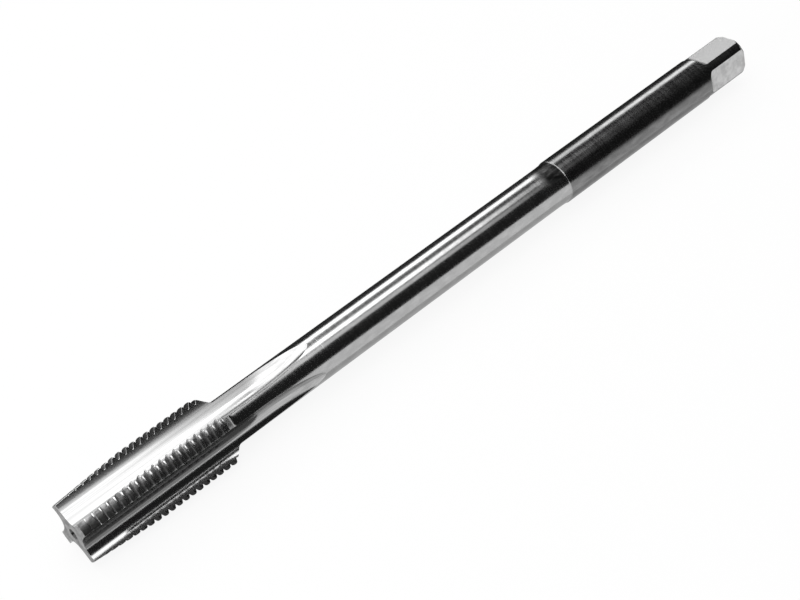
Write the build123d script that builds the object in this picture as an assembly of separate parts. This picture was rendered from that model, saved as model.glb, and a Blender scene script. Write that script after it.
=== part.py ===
"""Long-shank straight-flute tap for an 18 mm thread of 2 mm pitch.

The tap lies along X with its cutting end towards -X and its drive square
towards +X. The origin is on its axis, half way along. It rests with one flute
straight down, on the crests of the two lands beside that flute.
All lengths are in millimetres and all angles in degrees.
"""
from build123d import *
from math import acos, atan, ceil, cos, degrees, pi, radians, sin, tan
import os

os.makedirs("parts", exist_ok=True)

# Lengths along the axis, in order from the cutting end
thread_length = 40.0
neck_length = 111.0
step_length = 4.0
shank_length = 56.0
collar_length = 2.4
square_length = 13.0

# Diameters
front_diameter = 15.4
thread_diameter = 18.1
neck_diameter = 11.9
shank_diameter = 12.5
collar_diameter = 12.1
end_face_diameter = 10.7

# Thread form: flanks at 60 degrees to each other with a small flat at the root
pitch = 2.0
flank_angle = 30.0
thread_depth = 1.25
root_flat = 0.27
groove_phase = 0.70
groove_mouth_clearance = 0.1

# Lead cone at the front, the shoulder behind the thread, and the bevel that starts the shank
lead_length = 19.0
shoulder_angle = 45.0
shoulder_fillet = 2.0
shank_bevel_length = 0.17
shank_bevel_height = 0.17

# Flutes, milled by a formed disc that lifts out of the work at its own radius
flute_count = 4
hook_radius = 3.7
hook_centre_height = 7.4
hook_centre_offset = 0.9
heel_angle = 33.0
heel_radius = 16.0
cutter_radius = 75.0
flute_straight_length = 51.7

# Drive square, milled on the collar, and the bevel round its end
across_flats = 10.0
square_turn = -4.5
flat_run_out_radius = 2.5
end_bevel_length = 1.0
shank_edge_break = 0.2

# Centre holes that hold the tap between centres while it is ground
front_centre_diameter = 3.0
front_pilot_diameter = 1.2
front_pilot_depth = 3.6
end_centre_diameter = 3.6
end_pilot_diameter = 1.6
end_pilot_depth = 4.6
centre_angle = 60.0

# How far a cutting tool reaches past the surface that it cuts
overrun = 3.0

# Places along X and radii that follow from the sizes above
tap_length = (
    thread_length + neck_length + step_length + shank_length + collar_length + square_length
)
front = -tap_length / 2
lead_end = front + lead_length
thread_end = front + thread_length
neck_end = thread_end + neck_length
shank_start = neck_end + step_length
shank_end = shank_start + shank_length
square_start = shank_end + collar_length
end = square_start + square_length

front_radius = front_diameter / 2
thread_radius = thread_diameter / 2
neck_radius = neck_diameter / 2
shank_radius = shank_diameter / 2
collar_radius = collar_diameter / 2
end_face_radius = end_face_diameter / 2
shoulder_end = thread_end + (thread_radius - neck_radius) / tan(radians(shoulder_angle))
flute_step = 360 / flute_count


def turned_blank():
    """The bar as it leaves the lathe: lead cone, thread diameter, neck, shank and collar.

    Before the shank, the neck flares a little along an arc, up to the shank's bevel.
    """
    shoulder_foot = (shoulder_end, neck_radius)
    flare_start = (neck_end, neck_radius)
    flare_end = (shank_start - shank_bevel_length, shank_radius - shank_bevel_height)
    front_outline = Polyline(
        (front, 0),
        (front, front_radius),
        (lead_end, thread_radius),
        (thread_end, thread_radius),
        shoulder_foot,
        flare_start,
    )
    flare = TangentArc(flare_start, flare_end, tangent=(1, 0))
    back_outline = Polyline(
        flare_end,
        (shank_start, shank_radius),
        (shank_end - shank_edge_break, shank_radius),
        (shank_end, collar_radius),
        (end - end_bevel_length, collar_radius),
        (end, end_face_radius),
        (end, 0),
        (front, 0),
    )
    half_section = make_face([front_outline, flare, back_outline])
    foot = half_section.vertices().sort_by_distance(shoulder_foot + (0,))[0]
    half_section = fillet(foot, shoulder_fillet)
    return revolve(half_section, Axis.X)


def flute_cutter():
    """One flute's milling path, opening towards +Y: a straight run, then the lift-out.

    In the section, the cutting face of the next land is on the +Z side, where
    a small arc hooks back under the land. On the -Z side that arc runs out into
    the heel, a much larger arc.
    """
    reach = thread_radius + overrun
    centre_step = heel_radius - hook_radius
    hook_centre = (hook_centre_height, hook_centre_offset)
    heel_centre = (
        hook_centre_height + centre_step * cos(radians(heel_angle)),
        hook_centre_offset + centre_step * sin(radians(heel_angle)),
    )
    heel_turn = degrees(acos((heel_centre[0] - reach) / heel_radius)) - heel_angle
    face_top = (reach, hook_centre_offset + hook_radius)
    hook = CenterArc(hook_centre, hook_radius, 90, 90 + heel_angle)
    heel = CenterArc(heel_centre, heel_radius, 180 + heel_angle, heel_turn)
    outline = [
        Line(face_top, hook @ 0),
        hook,
        heel,
        Line(heel @ 1, face_top),
    ]
    section = make_face(outline)

    straight_start = Plane.YZ.offset(front - overrun)
    straight = extrude(straight_start * section, flute_straight_length + overrun)

    lift_start = front + flute_straight_length
    flute_bottom = hook_centre_height - hook_radius
    cutter_height = flute_bottom + cutter_radius
    cutter_axis = Axis((lift_start, cutter_height, 0), (0, 0, 1))
    depth_to_clear = shank_radius + overrun - flute_bottom
    lift_angle = degrees((2 * depth_to_clear / cutter_radius) ** 0.5)
    lift_out = revolve(Plane.YZ.offset(lift_start) * section, cutter_axis, lift_angle)
    return straight + lift_out


def thread_groove():
    """One thread groove at X = 0, over the land that lies round the +Y direction.

    It is a short arc of a ring. The ring turns by the thread's lead angle about
    the land's middle, so over the width of a land it follows the true helix.
    """
    root_radius = thread_radius - thread_depth
    mouth_radius = thread_radius + groove_mouth_clearance
    half_root = root_flat / 2
    half_mouth = half_root + (mouth_radius - root_radius) * tan(radians(flank_angle))
    outline = Polyline(
        (-half_root, root_radius),
        (half_root, root_radius),
        (half_mouth, mouth_radius),
        (-half_mouth, mouth_radius),
        close=True,
    )
    land_reach = flute_step * 0.4
    arc = revolve(Rot(-land_reach, 0, 0) * make_face(outline), Axis.X, 2 * land_reach)
    pitch_circle = 2 * pi * (thread_radius - thread_depth / 2)
    lead_angle = degrees(atan(pitch / pitch_circle))
    return Rot(0, lead_angle, 0) * arc


def flat_cutter():
    """One flat of the drive square, towards +Y, with the cutter's hollow at its inner end."""
    flat_height = across_flats / 2
    hollow = flat_run_out_radius
    top = flat_height + hollow + overrun
    tangent = (square_start, flat_height)
    hollow_top = (square_start - hollow, flat_height + hollow)
    outline = [
        Line((end + overrun, top), (end + overrun, flat_height)),
        Line((end + overrun, flat_height), tangent),
        CenterArc((square_start, flat_height + hollow), hollow, 270, -90),
        Line(hollow_top, (square_start - hollow, top)),
        Line((square_start - hollow, top), (end + overrun, top)),
    ]
    return extrude(make_face(outline), shank_diameter, both=True)


def centre_hole(mouth, diameter, pilot_diameter, pilot_depth, inward):
    """A countersunk centre hole on the axis, cut from X = mouth in the inward direction."""
    radius = diameter / 2
    pilot_radius = pilot_diameter / 2
    cone_depth = (radius - pilot_radius) / tan(radians(centre_angle / 2))
    outline = Polyline(
        (mouth, 0),
        (mouth, radius),
        (mouth + inward * cone_depth, pilot_radius),
        (mouth + inward * pilot_depth, pilot_radius),
        (mouth + inward * pilot_depth, 0),
        close=True,
    )
    return revolve(make_face(outline), Axis.X)


def thread_tap():
    """The whole tap, cut from one bar in the order that a maker cuts it."""
    tap = turned_blank()
    flute = flute_cutter()
    groove = thread_groove()
    flat = flat_cutter()
    groove_count = ceil((shoulder_end - front) / pitch) + 1
    for turn in range(flute_count):
        flute_direction = turn * flute_step
        land_direction = flute_direction + flute_step / 2
        first_groove = front + pitch * (groove_phase - 1 + land_direction / 360)
        tap -= Rot(flute_direction, 0, 0) * flute
        land_groove = Rot(land_direction, 0, 0) * groove
        tap -= [Pos(first_groove + n * pitch, 0, 0) * land_groove for n in range(groove_count)]
    for side in range(4):
        tap -= Rot(square_turn + side * 90, 0, 0) * flat
    tap -= centre_hole(front, front_centre_diameter, front_pilot_diameter, front_pilot_depth, 1)
    tap -= centre_hole(end, end_centre_diameter, end_pilot_diameter, end_pilot_depth, -1)
    return tap


export_step(thread_tap(), "parts/thread_tap.step")
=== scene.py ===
import math

import bpy
import numpy as np
from mathutils import Matrix, Vector


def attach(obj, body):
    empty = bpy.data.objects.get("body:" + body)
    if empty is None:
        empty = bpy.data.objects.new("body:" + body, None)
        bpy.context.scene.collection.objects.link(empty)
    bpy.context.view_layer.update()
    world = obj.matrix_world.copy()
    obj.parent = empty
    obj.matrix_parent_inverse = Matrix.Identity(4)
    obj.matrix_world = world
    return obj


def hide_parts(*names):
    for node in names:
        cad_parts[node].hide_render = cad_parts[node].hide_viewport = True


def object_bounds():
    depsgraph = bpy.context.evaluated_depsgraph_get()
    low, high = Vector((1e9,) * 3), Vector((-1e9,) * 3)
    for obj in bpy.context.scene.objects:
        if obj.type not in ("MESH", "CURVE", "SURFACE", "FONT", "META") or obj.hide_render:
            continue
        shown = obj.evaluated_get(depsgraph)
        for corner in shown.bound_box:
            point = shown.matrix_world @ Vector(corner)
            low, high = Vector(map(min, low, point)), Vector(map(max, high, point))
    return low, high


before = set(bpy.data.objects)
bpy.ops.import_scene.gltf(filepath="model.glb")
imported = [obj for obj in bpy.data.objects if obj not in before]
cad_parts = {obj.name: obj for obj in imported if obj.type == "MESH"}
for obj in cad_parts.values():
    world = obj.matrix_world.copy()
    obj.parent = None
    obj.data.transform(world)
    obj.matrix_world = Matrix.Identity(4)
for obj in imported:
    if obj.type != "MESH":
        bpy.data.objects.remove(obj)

cad_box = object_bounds()


# Camera. It looks at the tap from above its cutting end, a little along its length,
# so the cutting end is nearest and largest. The angles come from the thread's spacing,
# which shrinks towards the drive end, and from the widths of the neck and the shank.
MM = 0.001
lens_in_pixels = 1720
picture_width = 800
sensor_width = 36
tilt_along_tap = math.radians(26.1)
slope_in_picture = math.radians(36.21)
side_angle = math.radians(45.4)
seen_point = Vector((-14.49, 0, 0))
seen_depth = 422.7
seen_pixel = (-2.12, 2.91)

along = Vector((1, 0, 0))
towards_camera = Vector((0, -math.cos(side_angle), math.sin(side_angle)))
across = Vector((0, math.sin(side_angle), math.cos(side_angle)))


def camera_side(share_across, share_along):
    flat = math.cos(tilt_along_tap) * along + math.sin(tilt_along_tap) * towards_camera
    return share_along * flat + share_across * across


camera_right = camera_side(-math.sin(slope_in_picture), math.cos(slope_in_picture))
camera_up = camera_side(math.cos(slope_in_picture), math.sin(slope_in_picture))
camera_back = math.cos(tilt_along_tap) * towards_camera - math.sin(tilt_along_tap) * along
pixel_at_depth = seen_depth / lens_in_pixels
camera_place = (
    seen_point
    - seen_pixel[0] * pixel_at_depth * camera_right
    - seen_pixel[1] * pixel_at_depth * camera_up
    + seen_depth * camera_back
)
camera_data = bpy.data.cameras.new("camera")
camera_data.sensor_width = sensor_width
camera_data.lens = lens_in_pixels * sensor_width / picture_width
camera_data.clip_start = 0.01
camera = bpy.data.objects.new("camera", camera_data)
bpy.context.scene.collection.objects.link(camera)
turn = Matrix((camera_right, camera_up, camera_back)).transposed()
camera.matrix_world = Matrix.Translation(camera_place * MM) @ turn.to_4x4()
bpy.context.scene.camera = camera


# Thread tap. One bar of tool steel, hardened: turned, its four flutes milled, its thread
# cut on the lands between them, then ground on the neck and the shank. The drive end has
# a milled square. The sizes are millimetres, and X counts from the front face.
thread_length = 40.0
neck_length = 111.0
flare_length = 4.0
shank_length = 56.0
collar_length = 2.4
square_length = 13.0
front_radius = 7.7
thread_radius = 9.05
neck_radius = 5.95
shank_radius = 6.25
collar_radius = 6.05
end_face_radius = 5.35
lead_length = 19.0
shoulder_fillet = 2.0
shank_bevel = 0.17
shank_edge_break = 0.2
end_bevel_length = 1.0

neck_end = thread_length + neck_length
shank_start = neck_end + flare_length
shank_end = shank_start + shank_length
square_start = shank_end + collar_length
tap_length = square_start + square_length
shoulder_end = thread_length + thread_radius - neck_radius


def turned_outline():
    """Places along X and radii of the bar, with the shoulder's fillet and the neck's flare."""
    reach = shoulder_fillet * math.tan(math.pi / 8)
    fillet_end = shoulder_end + reach
    fillet_x = np.linspace(shoulder_end - reach * math.cos(math.pi / 4), fillet_end, 7)
    drop = np.sqrt(shoulder_fillet**2 - (fillet_end - fillet_x) ** 2)
    fillet_r = neck_radius + shoulder_fillet - drop
    flare_end = shank_start - shank_bevel
    rise = shank_radius - shank_bevel - neck_radius
    run = flare_end - neck_end
    bow = (run**2 + rise**2) / (2 * rise)
    flare_x = np.linspace(neck_end, flare_end, 9)
    flare_r = neck_radius + bow - np.sqrt(bow**2 - (flare_x - neck_end) ** 2)
    places = [0, lead_length, thread_length, *fillet_x, *flare_x, shank_start]
    radii = [front_radius, thread_radius, thread_radius, *fillet_r, *flare_r, shank_radius]
    places += [shank_end - shank_edge_break, shank_end, tap_length - end_bevel_length, tap_length]
    radii += [shank_radius, collar_radius, collar_radius, end_face_radius]
    return np.array(places), np.array(radii)


outline_x, outline_r = turned_outline()

# A fine line turned round the neck, just behind the place where the flutes end
neck_line_x = 72.1
neck_line_width = 0.3
neck_line_depth = 0.012


def turned_radius(x):
    radius = np.interp(x, outline_x, outline_r)
    line = np.clip(1 - np.abs(x - neck_line_x) * 2 / neck_line_width, 0, 1)
    return radius - neck_line_depth * line


# The thread's grooves: V grooves of 60 degrees on a right-hand helix, cut off by the lead
# cone near the front
pitch = 2.0
thread_depth = 1.25
half_root = 0.135
groove_phase = 0.70
root_radius = thread_radius - thread_depth
flank_rise = 1 / math.tan(math.radians(30))


def land_radius(x, degrees):
    groove_middle = pitch * (groove_phase + degrees / 360)
    away = np.abs((x - groove_middle + pitch / 2) % pitch - pitch / 2)
    groove = root_radius + np.maximum(away - half_root, 0) * flank_rise
    return np.where(x < shoulder_end, np.minimum(turned_radius(x), groove), turned_radius(x))


# A flute's section: v points out along the flute's middle and w towards the cutting face
# of the next land. A small hook arc runs from that face down and round to the heel, a
# much larger arc.
hook_radius = 3.7
hook_centre_v = 7.4
hook_centre_w = 0.9
heel_angle = math.radians(33)
heel_radius = 16.0
heel_centre_v = hook_centre_v + (heel_radius - hook_radius) * math.cos(heel_angle)
heel_centre_w = hook_centre_w + (heel_radius - hook_radius) * math.sin(heel_angle)
flute_bottom = hook_centre_v - hook_radius
flute_straight_length = 51.7
cutter_radius = 75.0
cutter_axis_v = flute_bottom + cutter_radius
heel_reach = 6.5
face_reach = 3.5
section_step = 0.02


def flute_section():
    """Points of the section, evenly spaced, and the normals that look into the flute."""
    heel = np.arange(heel_reach, 0, -section_step) / heel_radius + heel_angle
    hook = np.arange(heel_angle, -math.pi / 2, -section_step / hook_radius)
    face = np.arange(0, face_reach, section_step)
    turn = np.concatenate([heel, hook, np.full(len(face), -math.pi / 2)])
    on_heel = np.arange(len(turn)) < len(heel)
    radius = np.where(on_heel, heel_radius, hook_radius)
    v = np.where(on_heel, heel_centre_v, hook_centre_v) - radius * np.cos(turn)
    w = np.where(on_heel, heel_centre_w, hook_centre_w) - radius * np.sin(turn)
    v[-len(face):] += face
    return v, w, np.cos(turn), np.sin(turn)


section_v, section_w, section_nv, section_nw = flute_section()


def flute_wall(x):
    """The section at x, where the cutter lifts out of the work along its own radius."""
    past = max(x - flute_straight_length, 0)
    reach = cutter_axis_v - section_v
    v = cutter_axis_v - np.sqrt(np.maximum(reach**2 - past**2, 0))
    lean = past / reach
    return v, section_w, -section_nv * lean, section_nv * np.sqrt(1 - lean**2), section_nw


# The drive square's flats, 10 mm apart, with the cutter's hollow at their inner end
across_flats = 10.0
square_turn = -4.5
flat_run_out_radius = 2.5


def flat_height(x):
    short = np.clip(square_start - x, 0, flat_run_out_radius)
    return across_flats / 2 + flat_run_out_radius - np.sqrt(flat_run_out_radius**2 - short**2)


hollow_rise = collar_radius - across_flats / 2
hollow_length = math.sqrt(flat_run_out_radius**2 - (flat_run_out_radius - hollow_rise) ** 2)
hollow_start = square_start - hollow_length

# The surface is a net of rows along X and columns round the axis. In each quarter the
# columns cross one land and then one flute, or one corner and then one flat of the square.
land_columns = 16
flute_columns = 28
quarter = land_columns + flute_columns + 2
columns = 4 * quarter
edge_break = 0.05
front_edge_break = 0.08
widest_break_share = 0.1
narrowest_flute = 0.12
narrow_flute_margin = 1.3
flute_end = 70.0
run_out_rows_length = 18.2
run_out_turn = 8.6
shallowest_groove = 0.05
closest_rows = 0.025


def row_places():
    """Where the rows lie, each given for the side of the tap at 180 degrees round."""
    # The front edge, then the root, the flanks and the crest of each groove
    rows = [0, front_edge_break, 0.4, 0.7]
    for middle in np.arange(pitch * (groove_phase + 0.5) - pitch, shoulder_end, pitch):
        for side in (-1, 1):
            crest = turned_radius(middle + side * pitch / 2)
            half = half_root + max(crest - root_radius, shallowest_groove) / flank_rise
            for share in (0, 0.5, 1):
                rows.append(middle + side * (half_root + share * (half - half_root)))
        rows.append(middle + pitch / 2)
    # The shoulder, and the flutes as the cutter lifts out
    rows += list(np.arange(thread_length - 0.8, shoulder_end + 1.2, 0.2))
    rows += list(np.linspace(shoulder_end + 1.3, flute_straight_length, 5))
    spread = np.linspace(0, 1, 34)[1:] ** 0.8
    rows += list(flute_straight_length + spread * run_out_rows_length)
    # The line round the neck, the plain neck and the flare
    rows += list(neck_line_x + neck_line_width * np.array([-1, -0.5, -0.25, 0, 0.25, 0.5, 1]))
    rows += [90, 110, 130, 145, *np.linspace(neck_end, shank_start - shank_bevel, 9)]
    # The shank, the collar, the square with its hollows, and the bevel round the end
    rows += [shank_start, shank_start + 1, shank_start + 20, shank_end - 10]
    rows += [shank_end - shank_edge_break, shank_end]
    rows += list(np.linspace(hollow_start, square_start, 14))
    rows += [square_start + 4, square_start + 8]
    rows += list(np.linspace(tap_length - end_bevel_length, tap_length - edge_break, 7))
    rows.append(tap_length)
    rows = np.array(sorted(r for r in rows if 0 <= r <= tap_length))
    return rows[np.insert(np.diff(rows) > closest_rows, 0, True)]


rows = row_places()

# The rows follow the thread's helix, and are level at the front face and behind the shoulder
bend_start = 0.1
bend_start_length = 1.4
bend_end = 51
bend_end_length = 7


def helix_shift(x, degrees):
    """How far a row moves along X at an angle round the axis, so that it follows the thread."""
    begun = np.clip((x - bend_start) / bend_start_length, 0, 1)
    left = np.clip((bend_end - x) / bend_end_length, 0, 1)
    return pitch * (degrees - 180) / 360 * begun * left


def flute_edge(x, wall_v, degrees, heel_side):
    """Where the flute's wall meets the land, as an index into the section."""
    radius = np.hypot(wall_v, section_w)
    low = int(np.argmin(radius))
    index = np.arange(low, -1, -1) if heel_side else np.arange(low, len(radius))
    found = low
    angle = degrees
    # The land's height changes with the angle, so a few rounds bring the two together
    for _ in range(4):
        land = land_radius(x + helix_shift(x, angle), angle)
        found = float(np.interp(land, radius[index], index))
        v = np.interp(found, np.arange(len(radius)), wall_v)
        w = np.interp(found, np.arange(len(radius)), section_w)
        angle = degrees + math.degrees(math.atan2(w, v))
    return found, angle % 360


def milled_row(x):
    """One row of the fluted end: for each flute its wall's points and normals, and its edges."""
    wall_v, wall_w, nx, nv, nw = flute_wall(x)
    places = np.arange(len(wall_v))
    flutes = []
    for k in range(4):
        direction = 90 * k
        heel, heel_turn = flute_edge(x, wall_v, direction, True)
        face, face_turn = flute_edge(x, wall_v, direction, False)
        break_steps = min(edge_break / section_step, (face - heel) * widest_break_share)
        at = np.linspace(heel + break_steps, face - break_steps, flute_columns + 1)
        wall = np.array([np.interp(at, places, values) for values in (wall_v, wall_w, nx, nv, nw)])
        width = wall[1][-1] - wall[1][0]
        if width < narrowest_flute:
            # The flute has all but run out, so a narrow strip of the round neck takes its place
            radius = turned_radius(x)
            middle = (wall[1][-1] + wall[1][0]) / 2
            w = middle + np.linspace(-0.5, 0.5, flute_columns + 1) * narrowest_flute
            order = np.argsort(wall_w)
            v_wall = np.interp(w, wall_w[order], wall_v[order])
            v_round = np.sqrt(radius**2 - w**2)
            dug = v_wall < v_round
            wall = np.array([
                np.where(dug, v_wall, v_round),
                w,
                np.where(dug, np.interp(w, wall_w[order], nx[order]), 0),
                np.where(dug, np.interp(w, wall_w[order], nv[order]), v_round / radius),
                np.where(dug, np.interp(w, wall_w[order], nw[order]), w / radius),
            ])
            half = math.degrees(narrowest_flute / 2 / radius) * narrow_flute_margin
            centre = math.degrees(math.atan2(middle, radius))
            heel_turn = (direction + centre - half) % 360
            face_turn = (direction + centre + half) % 360
        flutes.append((direction, wall, heel_turn, face_turn))
    return flutes


# Over the plain length the columns turn from the flutes' places to those of the flats
turn_end_gap = 5
slope_step = 0.01


def round_row(x):
    """One row where the tap is round, or a row of the drive square with its four flats."""
    radius = turned_radius(x)
    height = flat_height(x)
    turned_share = np.clip((x - flute_end) / (hollow_start - turn_end_gap - flute_end), 0, 1)
    centre = run_out_turn + (square_turn - run_out_turn) * turned_share
    half_width = max(math.sqrt(max(radius**2 - height**2, 0)), narrowest_flute / 2)
    is_flat = x > hollow_start and height < radius
    break_width = min(edge_break, half_width * widest_break_share)
    w = np.linspace(-1, 1, flute_columns + 1) * (half_width - break_width)
    slope = (flat_height(x + slope_step) - flat_height(x - slope_step)) / (2 * slope_step)
    long = math.hypot(slope, 1)
    flutes = []
    for k in range(4):
        direction = 90 * k + centre
        if is_flat:
            v = np.minimum(height, np.sqrt(radius**2 - w**2))
            flat = np.ones_like(w)
            wall = np.array([v, w, -slope / long * flat, flat / long, 0 * flat])
        else:
            v = np.sqrt(radius**2 - w**2)
            wall = np.array([v, w, 0 * w, v / radius, w / radius])
        half = math.degrees(math.asin(half_width / radius))
        flutes.append((direction, wall, (direction - half) % 360, (direction + half) % 360))
    return flutes


def lay_row(x, flutes):
    """The points of one row, and the normals of the flutes' walls, all round the axis."""
    points = np.zeros((columns, 3))
    normals = np.zeros((columns, 3))
    for k in range(4):
        start = flutes[k][3]
        end = flutes[(k + 1) % 4][2]
        span = (end - start) % 360
        trim = min(math.degrees(edge_break / thread_radius), span * widest_break_share)
        angle = start + np.linspace(trim, span - trim, land_columns + 1)
        wrapped = angle % 360
        land_x = x + helix_shift(x, wrapped)
        radius = land_radius(land_x, wrapped)
        first = k * quarter
        points[first:first + land_columns + 1] = np.column_stack(
            [land_x, radius * np.cos(np.radians(angle)), radius * np.sin(np.radians(angle))]
        )
        direction, wall, heel_turn, face_turn = flutes[(k + 1) % 4]
        d = math.radians(direction)
        v, w, nx, nv, nw = wall
        share = np.linspace(0, 1, flute_columns + 1)
        heel_x = x + helix_shift(x, heel_turn)
        face_x = x + helix_shift(x, face_turn)
        first += land_columns + 1
        last = first + flute_columns + 1
        points[first:last] = np.column_stack([
            heel_x + (face_x - heel_x) * share,
            v * math.cos(d) - w * math.sin(d),
            v * math.sin(d) + w * math.cos(d),
        ])
        normals[first:last] = np.column_stack(
            [nx, nv * math.cos(d) - nw * math.sin(d), nv * math.sin(d) + nw * math.cos(d)]
        )
    return points, normals


def inset(points, amount):
    """A row of points moved inwards, square to their outline, for the broken edge of a face."""
    flat = points[:, 1:]
    tangent = np.roll(flat, -1, 0) - np.roll(flat, 1, 0)
    tangent /= np.linalg.norm(tangent, axis=1)[:, None]
    moved = points.copy()
    moved[:, 1] -= tangent[:, 1] * amount
    moved[:, 2] += tangent[:, 0] * amount
    return moved


laid = [lay_row(x, milled_row(x) if x < flute_end else round_row(x)) for x in rows]
net = np.array([points for points, normals in laid])
wall_normals = np.array([normals for points, normals in laid])
net[0] = inset(net[1], front_edge_break)
net[0, :, 0] = 0
net[-1] = inset(net[-2], edge_break)
net[-1, :, 0] = tap_length

# Each face of the net belongs to a zone, which has its own finish
(
    ground_zone,
    flute_zone,
    painted_highlight_thread_zone,
    end_face_zone,
    cutter_marks_zone,
    pitted_zone,
    hole_zone,
    painted_shade_thread_zone,
) = range(8)
crest_tolerance = 0.05
steep_rise = math.radians(50)
same_curve = math.radians(20)
last_flute_row = flute_end - 0.2
last_thread_row = thread_length + 0.4
last_land_edge_row = shoulder_end - 0.5

points = [net.reshape(-1, 3)]
faces = []
face_normals = []
zones = []
radius_of = np.hypot(net[:, :, 1], net[:, :, 2])
angle_of = np.arctan2(net[:, :, 2], net[:, :, 1])
rise_of = np.arctan2(np.diff(radius_of, axis=0), np.diff(net[:, :, 0], axis=0))
crest_of = radius_of > turned_radius(net[:, :, 0]) - crest_tolerance


def round_normal(row, column, strip):
    """The normal of a turned surface at a point, as the strip of rows before or behind sees it."""
    lean = rise_of[strip, column]
    other = strip + (1 if row > strip else -1)
    if 0 <= other < len(rise_of) and abs(rise_of[other, column] - lean) < same_curve:
        lean = (lean + rise_of[other, column]) / 2
    turn = angle_of[row, column]
    return (-math.sin(lean), math.cos(lean) * math.cos(turn), math.cos(lean) * math.sin(turn))


def flat_normal(corners):
    a, b, c, d = corners
    normal = np.cross(c - a, d - b)
    return tuple(normal / max(np.linalg.norm(normal), 1e-12))


for i in range(len(rows) - 1):
    x = (rows[i] + rows[i + 1]) / 2
    at_face = i in (0, len(rows) - 2)
    fluted = x < last_flute_row
    squared = x > hollow_start
    for j in range(columns):
        following = (j + 1) % columns
        place = j % quarter
        corners = ((i, j), (i, following), (i + 1, following), (i + 1, j))
        faces.append([row * columns + column for row, column in corners])
        on_land = place < land_columns
        on_wall = land_columns < place < quarter - 1
        if at_face:
            normal = flat_normal([net[c] for c in corners])
            face_normals.append([normal] * 4)
            zones.append(end_face_zone)
        elif on_land or not (fluted or squared):
            face_normals.append([round_normal(row, column, i) for row, column in corners])
            towards_front = rise_of[i, j] > steep_rise
            on_crest = crest_of[i, j] and crest_of[i + 1, j]
            # Crests and flanks that look towards the front take the painted shade, other thread
            # faces the painted highlight
            thread_zone = painted_shade_thread_zone if towards_front or on_crest else painted_highlight_thread_zone
            zones.append(thread_zone if x < last_thread_row else ground_zone)
        elif on_wall:
            face_normals.append([tuple(wall_normals[c]) for c in corners])
            flat_zone = cutter_marks_zone if (j // quarter) % 2 == 0 else pitted_zone
            zones.append(flat_zone if squared else flute_zone)
        else:
            face_normals.append([flat_normal([net[c] for c in corners])] * 4)
            # The lands' broken edges along the thread take the painted highlight too
            zones.append(painted_highlight_thread_zone if x < last_land_edge_row else ground_zone)

# Centre holes: countersunk, with a small drilled pilot. They held the tap between centres
# while it was ground.
front_hole_radius = 1.5
front_pilot_radius = 0.6
front_pilot_depth = 3.6
end_hole_radius = 1.8
end_pilot_radius = 0.8
end_pilot_depth = 4.6
hole_columns = 64


def ring(x, radius, start):
    turn = start + np.arange(hole_columns) * 2 * math.pi / hole_columns
    return np.column_stack([np.full(hole_columns, x), radius * np.cos(turn), radius * np.sin(turn)])


def close_end(row, mouth, inward, rim_radius, pilot_radius, pilot_depth):
    """An end face round its centre hole, the hole's cone and pilot, and the pilot's bottom."""
    middle = land_columns + 1 + flute_columns // 2
    start = angle_of[row, middle]
    cone_depth = (rim_radius - pilot_radius) * flank_rise
    depths = [0, cone_depth, pilot_depth]
    radii = [rim_radius, pilot_radius, pilot_radius]
    base = sum(len(p) for p in points)
    for depth, radius in zip(depths, radii):
        points.append(ring(mouth + inward * depth, radius, start))
    outward = (-inward, 0, 0)
    steps = hole_columns // 4
    for k in range(4):
        outer = [row * columns + (middle + k * quarter + n) % columns for n in range(quarter + 1)]
        inner = [base + (k * steps + n) % hole_columns for n in range(steps, -1, -1)]
        face = outer + inner
        faces.append(face if inward < 0 else face[::-1])
        face_normals.append([outward] * len(face))
        zones.append(end_face_zone)
    for level in (0, 1):
        lean = math.atan2(radii[level] - radii[level + 1], depths[level + 1] - depths[level])
        for n in range(hole_columns):
            near = [base + level * hole_columns + (n + m) % hole_columns for m in (0, 1)]
            deep = [p + hole_columns for p in near]
            turns = [start + (n + m) * 2 * math.pi / hole_columns for m in (0, 1)]
            slant = math.cos(lean)
            normal = [
                (-inward * math.sin(lean), -slant * math.cos(t), -slant * math.sin(t))
                for t in turns
            ]
            face = [near[0], near[1], deep[1], deep[0]]
            shade = [normal[0], normal[1], normal[1], normal[0]]
            faces.append(face if inward < 0 else face[::-1])
            face_normals.append(shade if inward < 0 else shade[::-1])
            zones.append(hole_zone)
    bottom = [base + 2 * hole_columns + n for n in range(hole_columns)]
    faces.append(bottom if inward < 0 else bottom[::-1])
    face_normals.append([outward] * hole_columns)
    zones.append(hole_zone)


close_end(0, 0, 1, front_hole_radius, front_pilot_radius, front_pilot_depth)
close_end(len(rows) - 1, tap_length, -1, end_hole_radius, end_pilot_radius, end_pilot_depth)

tap_points = (np.concatenate(points) - np.array([tap_length / 2, 0, 0])) * MM
tap_mesh = bpy.data.meshes.new("tap_body")
tap_mesh.from_pydata(tap_points.tolist(), [], faces)
tap_mesh.polygons.foreach_set("material_index", zones)
tap_mesh.polygons.foreach_set("use_smooth", [True] * len(faces))
tap_mesh.update()
tap_mesh.normals_split_custom_set([n for normals in face_normals for n in normals])
tap = bpy.data.objects.new("tap_body", tap_mesh)
bpy.context.scene.collection.objects.link(tap)
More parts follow.
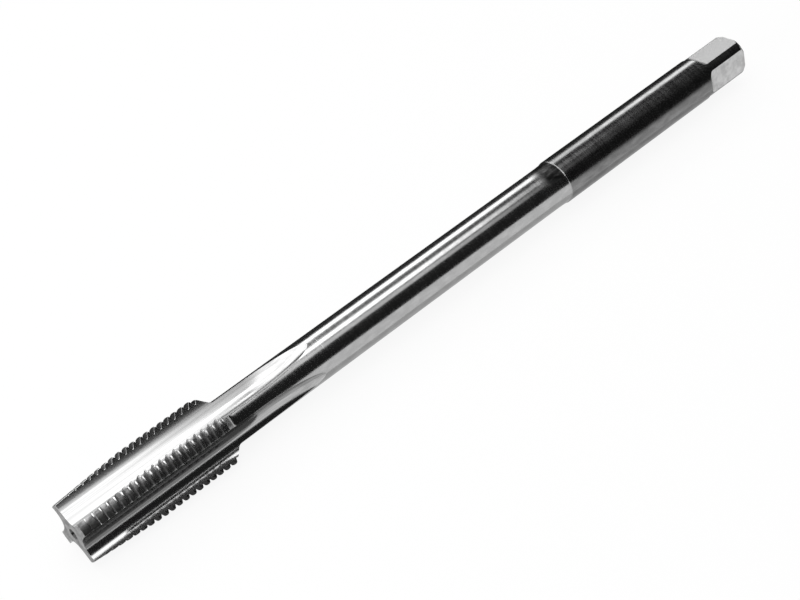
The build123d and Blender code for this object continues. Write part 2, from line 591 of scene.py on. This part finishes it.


# Steel finishes. All of the tap is the same bare grey steel. What differs is how each
# surface was cut or ground, so each zone has its own roughness and its own fine marks.
# The thread's zones and the centre holes also carry painted highlight or painted shade
# in their colour.
class Finish:
    """A metal material with the fine marks of one way of working the steel."""

    def __init__(self, name, grey, roughness):
        self.material = bpy.data.materials.new(name)
        self.material.use_nodes = True
        self.tree = self.material.node_tree
        self.shader = self.tree.nodes["Principled BSDF"]
        self.shader.inputs["Metallic"].default_value = 1.0
        self.shader.inputs["Base Color"].default_value = (grey, grey, grey, 1)
        self.shader.inputs["Roughness"].default_value = roughness
        self.place = self.node("ShaderNodeTexCoord").outputs["Object"]
        self.bump = None

    def node(self, kind, **values):
        made = self.tree.nodes.new(kind)
        for name, value in values.items():
            setattr(made, name, value)
        return made

    def link(self, a, b):
        self.tree.links.new(a, b)

    def stretched(self, scale, turn=(0, 0, 0), move=(0, 0, 0)):
        """The tap's own coordinates, scaled along each axis, to draw marks out in one direction."""
        mapping = self.node("ShaderNodeMapping")
        mapping.inputs["Scale"].default_value = scale
        mapping.inputs["Rotation"].default_value = turn
        mapping.inputs["Location"].default_value = move
        self.link(self.place, mapping.inputs["Vector"])
        return mapping.outputs["Vector"]

    def noise(self, vector, detail=3.0, rough=0.55):
        made = self.node("ShaderNodeTexNoise")
        made.inputs["Scale"].default_value = 1.0
        made.inputs["Detail"].default_value = detail
        made.inputs["Roughness"].default_value = rough
        self.link(vector, made.inputs["Vector"])
        return made.outputs["Fac"]

    def cells(self, feature, scale):
        """Distances in a pattern of cells: from their middles, or from the lines between them."""
        made = self.node("ShaderNodeTexVoronoi", feature=feature)
        made.inputs["Scale"].default_value = scale
        self.link(self.place, made.inputs["Vector"])
        return made.outputs["Distance"]

    def ramp(self, value, low, high, out_low=0.0, out_high=1.0):
        """A value mapped smoothly from one range to another, and held at its ends."""
        made = self.node("ShaderNodeMapRange", interpolation_type="SMOOTHSTEP")
        sockets = ("From Min", "From Max", "To Min", "To Max")
        for name, number in zip(sockets, (low, high, out_low, out_high)):
            made.inputs[name].default_value = number
        self.link(value, made.inputs["Value"])
        return made.outputs["Result"]

    def math(self, operation, a, b):
        made = self.node("ShaderNodeMath", operation=operation)
        for socket, value in zip(made.inputs, (a, b)):
            if isinstance(value, (int, float)):
                socket.default_value = value
            else:
                self.link(value, socket)
        return made.outputs["Value"]

    def position(self, axis):
        """Millimetres from the tap's middle, along one of its own axes."""
        split = self.node("ShaderNodeSeparateXYZ")
        self.link(self.place, split.inputs["Vector"])
        return self.math("MULTIPLY", split.outputs[axis], 1 / MM)

    def grey(self, value):
        """The base colour from a value between black and white."""
        made = self.node("ShaderNodeCombineColor")
        for name in ("Red", "Green", "Blue"):
            self.link(value, made.inputs[name])
        self.link(made.outputs["Color"], self.shader.inputs["Base Color"])

    def roughness(self, value):
        self.link(value, self.shader.inputs["Roughness"])

    def raise_by(self, height, millimetres):
        """Adds a layer of relief, with a height in millimetres for a value of one."""
        made = self.node("ShaderNodeBump")
        made.inputs["Strength"].default_value = 1.0
        made.inputs["Distance"].default_value = millimetres * MM
        self.link(height, made.inputs["Height"])
        if self.bump is not None:
            self.link(self.bump, made.inputs["Normal"])
        self.bump = made.outputs["Normal"]
        self.link(self.bump, self.shader.inputs["Normal"])

    def brushed(self, amount, turn):
        """Draws the gloss out across fine marks that run round the axis."""
        tangent = self.node("ShaderNodeTangent", direction_type="RADIAL", axis="X")
        self.link(tangent.outputs["Tangent"], self.shader.inputs["Tangent"])
        self.shader.inputs["Anisotropic"].default_value = amount
        self.shader.inputs["Anisotropic Rotation"].default_value = turn


steel_grey = 0.46

# Ground round surface of the neck, the shank and the collar: fine rings round the axis. The
# upper side of the flare before the shank wasn't ground and is duller. There its steel is
# also painted darker, as painted shade.
ground = Finish("ground_steel", steel_grey, 0.18)
from_front = ground.math("ADD", ground.position("X"), tap_length / 2)
upward = ground.math("ADD", ground.position("Y"), ground.position("Z"))
on_shank = ground.ramp(from_front, shank_start - 0.2, shank_start + 0.3)
on_flare = ground.math(
    "MULTIPLY",
    ground.ramp(from_front, neck_end - 4.5, neck_end - 0.5),
    ground.ramp(from_front, shank_start - 0.3, shank_start - 0.1, 1.0, 0.0),
)
# Painted shade: the upper side of the flare, and the end of the neck before it, are darkened
dull_and_painted_shade_flare = ground.math("MULTIPLY", on_flare, ground.ramp(upward, -4, 1))
rings = ground.noise(ground.stretched((1900, 40, 40)), 2.0, 0.6)
mottle = ground.noise(ground.stretched((260, 700, 700)), 3.0)
dirt = ground.ramp(mottle, 0.35, 0.75, steel_grey - 0.05, steel_grey + 0.03)
# The flare's painted shade, and the shank's own darker steel
painted_shade_flare = ground.math("MULTIPLY", dull_and_painted_shade_flare, 0.40)
darker_shank = ground.math("MULTIPLY", on_shank, 0.21)
darker_shank_and_painted_shade = ground.math("MAXIMUM", painted_shade_flare, darker_shank)
ground.grey(ground.math("SUBTRACT", dirt, darker_shank_and_painted_shade))
base_rough = ground.math("ADD", 0.17, ground.math("MULTIPLY", on_shank, 0.02))
ring_rough = ground.ramp(rings, 0.38, 0.62, 0.0, 0.045)
rough = ground.math("ADD", base_rough, ring_rough)
ground.roughness(ground.math("ADD", rough, ground.math("MULTIPLY", dull_and_painted_shade_flare, 0.20)))
ground.raise_by(rings, 0.0020)
ground.brushed(0.45, 0.25)

# Flutes: a ground concave wall with fine lines along its length
flute = Finish("flute_steel", steel_grey, 0.22)
lines = flute.noise(flute.stretched((14, 1900, 1900)), 4.0, 0.65)
flute.grey(flute.ramp(lines, 0.3, 0.7, steel_grey - 0.10, steel_grey + 0.05))
flute.roughness(flute.ramp(lines, 0.3, 0.7, 0.20, 0.14))
flute.raise_by(lines, 0.002)
flute.brushed(0.35, 0.0)

# Roots of the thread, and the flanks that look towards the shank: painted light, as a painted
# highlight
thread = Finish("thread_painted_highlight_steel", steel_grey, 0.22)
marks = thread.noise(thread.stretched((500, 1500, 1500)), 3.0)
thread.grey(thread.ramp(marks, 0.3, 0.7, steel_grey + 0.16, steel_grey + 0.40))
thread.roughness(thread.ramp(marks, 0.3, 0.7, 0.24, 0.16))

# Crests, and the flanks that look towards the front: dull, and painted darker as painted shade
flank = Finish("thread_painted_shade_steel", steel_grey, 0.36)
grain = flank.noise(flank.stretched((500, 1100, 1100)), 3.0)
flank.grey(flank.ramp(grain, 0.35, 0.65, steel_grey - 0.32, steel_grey - 0.12))
flank.roughness(flank.ramp(grain, 0.3, 0.7, 0.36, 0.28))

# End faces: sawn and faced, matt, with fine scratches one way, a few small black pits and
# short dark hairlines
sawn = Finish("end_face_steel", steel_grey, 0.45)
scratches = sawn.noise(sawn.stretched((300, 3600, 260), (math.radians(38), 0, 0)), 3.0, 0.6)
speckle = sawn.noise(sawn.stretched((2600, 2600, 2600)), 4.0, 0.7)
stain = sawn.noise(sawn.stretched((300, 420, 420)), 3.0)
patches = sawn.noise(sawn.stretched((330, 330, 330), move=(3, 1, 5)), 2.0)
pit_size = sawn.ramp(patches, 0.42, 0.66, 0.0, 0.13)
unpitted = sawn.math("GREATER_THAN", sawn.cells("F1", 620), pit_size)
off_hairline = sawn.ramp(sawn.cells("DISTANCE_TO_EDGE", 260), 0.004, 0.014)
uncracked = sawn.math("MAXIMUM", off_hairline, sawn.ramp(stain, 0.44, 0.50))
scratch_tone = sawn.ramp(scratches, 0.35, 0.65, 0.27, 0.37)
tone = sawn.math("MULTIPLY", scratch_tone, sawn.ramp(speckle, 0.35, 0.65, 0.82, 1.12))
stained = sawn.math("MULTIPLY", tone, sawn.ramp(stain, 0.40, 0.58, 0.66, 1.0))
pit_tone = sawn.ramp(unpitted, 0, 1, 0.12, 1)
marked = sawn.math("MULTIPLY", pit_tone, sawn.ramp(uncracked, 0, 1, 0.35, 1))
sawn.grey(sawn.math("MULTIPLY", stained, marked))
sawn.roughness(sawn.ramp(scratches, 0.3, 0.7, 0.52, 0.42))
sawn.raise_by(scratches, 0.008)
sawn.raise_by(unpitted, 0.03)

# Flats of the square with the cutter's marks: fine arcs, one for each turn of the cutter
milled = Finish("milled_flat_steel", steel_grey, 0.34)
arcs = milled.node("ShaderNodeTexWave", wave_type="RINGS", rings_direction="SPHERICAL")
arcs.inputs["Scale"].default_value = 1.3
arcs.inputs["Distortion"].default_value = 1.2
arcs.inputs["Detail"].default_value = 2.0
arcs.inputs["Detail Scale"].default_value = 1.5
milled.link(milled.stretched((1000, 1000, 1000), move=(-82, -14, 0)), arcs.inputs["Vector"])
milled.grey(milled.ramp(arcs.outputs["Fac"], 0.35, 0.95, 0.21, 0.37))
milled.raise_by(arcs.outputs["Fac"], 0.010)

# The other flats: smooth, with small pits where rust has bitten
pitted = Finish("pitted_flat_steel", steel_grey, 0.36)
patches = pitted.noise(pitted.stretched((150, 150, 150)), 2.0)
spot_size = pitted.ramp(patches, 0.42, 0.70, 0.0, 0.18)
unspotted = pitted.math("GREATER_THAN", pitted.cells("F1", 1000), spot_size)
smear = pitted.noise(pitted.stretched((500, 500, 500)), 4.0)
smear_tone = pitted.ramp(smear, 0.3, 0.7, 0.58, 0.74)
pitted.grey(pitted.math("MULTIPLY", smear_tone, pitted.ramp(unspotted, 0, 1, 0.3, 1)))
pitted.roughness(pitted.ramp(smear, 0.3, 0.7, 0.46, 0.34))
pitted.raise_by(unspotted, 0.02)

# Centre holes: drilled and smooth, with fine rings. Their steel is painted very dark, as painted
# shade inside the holes
drilled = Finish("drilled_painted_shade_steel", steel_grey, 0.22)
turned_marks = drilled.noise(drilled.stretched((2500, 60, 60)), 2.0)
drilled.grey(drilled.ramp(turned_marks, 0.3, 0.7, 0.06, 0.14))
drilled.raise_by(turned_marks, 0.004)

# The finishes, in the order of the zones
for finish in (ground, flute, thread, sawn, milled, pitted, drilled, flank):
    tap_mesh.materials.append(finish.material)

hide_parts("thread_tap")
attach(tap, "root")


# Floor. A plain white sheet under the tap, with the tap's soft shadow. Seen by the camera
# or in a reflection, it is white paper that is a little brighter than it is lit.
floor_level = cad_box[0][2]
floor_half = 2.5
floor_corners = ((-1, -1), (1, -1), (1, 1), (-1, 1))
paper_grey = 0.9
glow_share = 0.9
floor_mesh = bpy.data.meshes.new("floor")
floor_mesh.from_pydata(
    [(sx * floor_half, sy * floor_half, floor_level) for sx, sy in floor_corners],
    [],
    [(0, 1, 2, 3)],
)
floor = bpy.data.objects.new("floor", floor_mesh)
bpy.context.scene.collection.objects.link(floor)


def seen_directly(tree):
    """One where a ray from the camera, a reflection or a view through glass arrives."""
    path = tree.nodes.new("ShaderNodeLightPath")
    first = tree.nodes.new("ShaderNodeMath")
    first.operation = "MAXIMUM"
    second = tree.nodes.new("ShaderNodeMath")
    second.operation = "MAXIMUM"
    tree.links.new(path.outputs["Is Camera Ray"], first.inputs[0])
    tree.links.new(path.outputs["Is Glossy Ray"], first.inputs[1])
    tree.links.new(first.outputs["Value"], second.inputs[0])
    tree.links.new(path.outputs["Is Transmission Ray"], second.inputs[1])
    return second.outputs["Value"]


paper = bpy.data.materials.new("white_paper")
paper.use_nodes = True
tree = paper.node_tree
tree.nodes.clear()
lit = tree.nodes.new("ShaderNodeBsdfDiffuse")
lit.inputs["Color"].default_value = (paper_grey, paper_grey, paper_grey, 1)
glow = tree.nodes.new("ShaderNodeEmission")
glow.inputs["Color"].default_value = (1, 1, 1, 1)
glow.inputs["Strength"].default_value = 1.0
part_glow = tree.nodes.new("ShaderNodeMath")
part_glow.operation = "MULTIPLY"
part_glow.inputs[1].default_value = glow_share
mix = tree.nodes.new("ShaderNodeMixShader")
out = tree.nodes.new("ShaderNodeOutputMaterial")
tree.links.new(seen_directly(tree), part_glow.inputs[0])
tree.links.new(part_glow.outputs["Value"], mix.inputs["Fac"])
tree.links.new(lit.outputs["BSDF"], mix.inputs[1])
tree.links.new(glow.outputs["Emission"], mix.inputs[2])
tree.links.new(mix.outputs["Shader"], out.inputs["Surface"])
floor_mesh.materials.append(paper)


# Light. The tap lay in a white tent under long soft lamps, between strips of black card,
# so its round parts show clean dark and bright bands along their whole length. Each lamp
# and card is placed by its angle round the tap: 0 level in front, 90 overhead, 180 behind.
lit_strength = 0.45
seen_strength = 1.0
world = bpy.data.worlds.new("tent")
bpy.context.scene.world = world
world.use_nodes = True
sky = world.node_tree.nodes["Background"]
strength = world.node_tree.nodes.new("ShaderNodeMapRange")
strength.inputs["To Min"].default_value = lit_strength
strength.inputs["To Max"].default_value = seen_strength
world.node_tree.links.new(seen_directly(world.node_tree), strength.inputs["Value"])
world.node_tree.links.new(strength.outputs["Result"], sky.inputs["Strength"])
sky.inputs["Color"].default_value = (1, 1, 1, 1)


def around(degrees, distance):
    turn = math.radians(degrees)
    return Vector((0, -math.cos(turn) * distance, math.sin(turn) * distance))


def soft_lamp(name, low, high, start, end, distance, radiance):
    """A long soft lamp that fills the angles from low to high, from start to end along X."""
    width = 2 * distance * math.tan(math.radians((high - low) / 2))
    data = bpy.data.lights.new(name, "AREA")
    data.shape = "RECTANGLE"
    data.size = end - start
    data.size_y = width
    data.energy = radiance * math.pi * data.size * data.size_y
    lamp = bpy.data.objects.new(name, data)
    bpy.context.scene.collection.objects.link(lamp)
    middle = around((low + high) / 2, distance)
    back = middle.normalized()
    turn = Matrix((along, back.cross(along), back)).transposed()
    middle.x = (start + end) / 2
    lamp.matrix_world = Matrix.Translation(middle) @ turn.to_4x4()
    lamp.visible_camera = False


def end_lamp(name, place, size, radiance):
    """A square lamp beyond the cutting end, turned towards the tap."""
    data = bpy.data.lights.new(name, "AREA")
    data.size = size
    data.energy = radiance * math.pi * size**2
    lamp = bpy.data.objects.new(name, data)
    bpy.context.scene.collection.objects.link(lamp)
    lamp.location = place
    lamp.rotation_euler = Vector(place).to_track_quat("Z", "Y").to_euler()
    lamp.visible_camera = False


def bent_card(name, low, high, start, end, distance, grey):
    """A bent card round the tap, from angle low to high, that only reflections see."""
    turns = np.linspace(low, high, 9)
    ends = [around(t, distance) + Vector((x, 0, 0)) for t in turns for x in (start, end)]
    strips = [(2 * n, 2 * n + 1, 2 * n + 3, 2 * n + 2) for n in range(len(turns) - 1)]
    mesh = bpy.data.meshes.new(name)
    mesh.from_pydata([tuple(p) for p in ends], [], strips)
    return only_reflected(name, mesh, grey)


def only_reflected(name, mesh, grey):
    """A piece of card of an even grey, out of the camera's sight."""
    card = bpy.data.objects.new(name, mesh)
    bpy.context.scene.collection.objects.link(card)
    paint = bpy.data.materials.new(name)
    paint.use_nodes = True
    paint.node_tree.nodes.clear()
    tone = paint.node_tree.nodes.new("ShaderNodeEmission")
    tone.inputs["Color"].default_value = (grey, grey, grey, 1)
    end_node = paint.node_tree.nodes.new("ShaderNodeOutputMaterial")
    paint.node_tree.links.new(tone.outputs["Emission"], end_node.inputs["Surface"])
    mesh.materials.append(paint)
    card.visible_camera = False
    card.visible_diffuse = False
    card.visible_shadow = False
    card.visible_transmission = False
    card.visible_volume_scatter = False
    return card


def flat_card(name, grey, corners):
    """A flat card between four corners, that only reflections see."""
    mesh = bpy.data.meshes.new(name)
    mesh.from_pydata(corners, [], [(0, 1, 2, 3)])
    return only_reflected(name, mesh, grey)


def floor_card(name, grey, corners):
    """A flat card that lies on the floor."""
    level = floor_level + 0.0001
    return flat_card(name, grey, [(x, y, level) for x, y in corners])


soft_lamp("lamp_overhead", 82, 99, start=0.13, end=0.36, distance=0.6, radiance=1.95)
soft_lamp("lamp_behind", 128.5, 149, start=0.15, end=0.405, distance=0.6, radiance=2.0)
soft_lamp("lamp_behind_shank", 130, 149, start=0.45, end=1.4, distance=0.6, radiance=2.5)
soft_lamp("lamp_over_thread", 55, 146, start=-0.4, end=0.138, distance=0.55, radiance=1.36)
end_lamp("lamp_at_front", place=(-0.7, -0.08, 0.17), size=0.3, radiance=6.0)

bent_card("card_front", -0.8, 58, start=0.112, end=1.6, distance=0.5, grey=0.02)
bent_card("card_before_teeth", -0.8, 52.5, start=-1.2, end=0.112, distance=0.5, grey=0.02)
bent_card("card_far_end", 57, 125, start=0.312, end=1.6, distance=0.5, grey=0.02)
bent_card("card_near_thread", 30, 49, start=-0.1, end=-0.055, distance=0.014, grey=0.02)
bent_card("card_top_gap", 74, 80, start=0.12, end=0.32, distance=0.5, grey=0.35)
bent_card("card_back_gap", 104, 124, start=0.12, end=0.32, distance=0.5, grey=0.15)
bent_card("card_behind", 153, 180.8, start=-0.16, end=1.6, distance=0.5, grey=0.03)
flat_card(
    "card_beyond_front",
    0.12,
    [(-0.2, y, z) for y, z in ((-0.06, -0.009), (0.06, -0.009), (0.06, 0.05), (-0.06, 0.05))],
)

# Cards on the floor, round the place under the tap, that only reflections see. They are darker
# than the paper: painted shadow of the tap on the floor, as its reflections show it.
face = -0.111
thread_back = -0.06
under = -0.0105
behind = 0.0085
floor_card("card_on_floor", 0.03, [(face, behind), (0.6, behind), (0.6, 0.6), (face, 0.6)])
floor_card(
    "card_below",
    0.6,
    [(thread_back, under), (0.2, under), (0.2, behind), (thread_back, behind)],
)
floor_card(
    "card_below_thread",
    0.1,
    [(face, -0.015), (thread_back, -0.015), (thread_back, behind), (face, behind)],
)
floor_card(
    "card_before_thread",
    0.4,
    [(face, -0.06), (thread_back, -0.06), (thread_back, -0.015), (face, -0.015)],
)

# The last card is lightest beside the shank and fades away from it, so the lower side of the
# shank gets darker evenly towards its middle
before_shank = floor_card(
    "card_before_shank", 0.45, [(0.05, -0.012), (0.2, -0.012), (0.9, -0.5), (0.37, -0.5)]
)
card_tree = before_shank.data.materials[0].node_tree
split = card_tree.nodes.new("ShaderNodeSeparateXYZ")
fade = card_tree.nodes.new("ShaderNodeMapRange")
fade.interpolation_type = "SMOOTHERSTEP"
fade.inputs["From Min"].default_value = -0.11
fade.inputs["From Max"].default_value = -0.012
fade.inputs["To Min"].default_value = 0.22
fade.inputs["To Max"].default_value = 0.80
own_place = card_tree.nodes.new("ShaderNodeTexCoord").outputs["Object"]
card_tree.links.new(own_place, split.inputs["Vector"])
card_tree.links.new(split.outputs["Y"], fade.inputs["Value"])
card_tree.links.new(fade.outputs["Result"], card_tree.nodes["Emission"].inputs["Color"])

bpy.context.scene.view_settings.view_transform = "Standard"
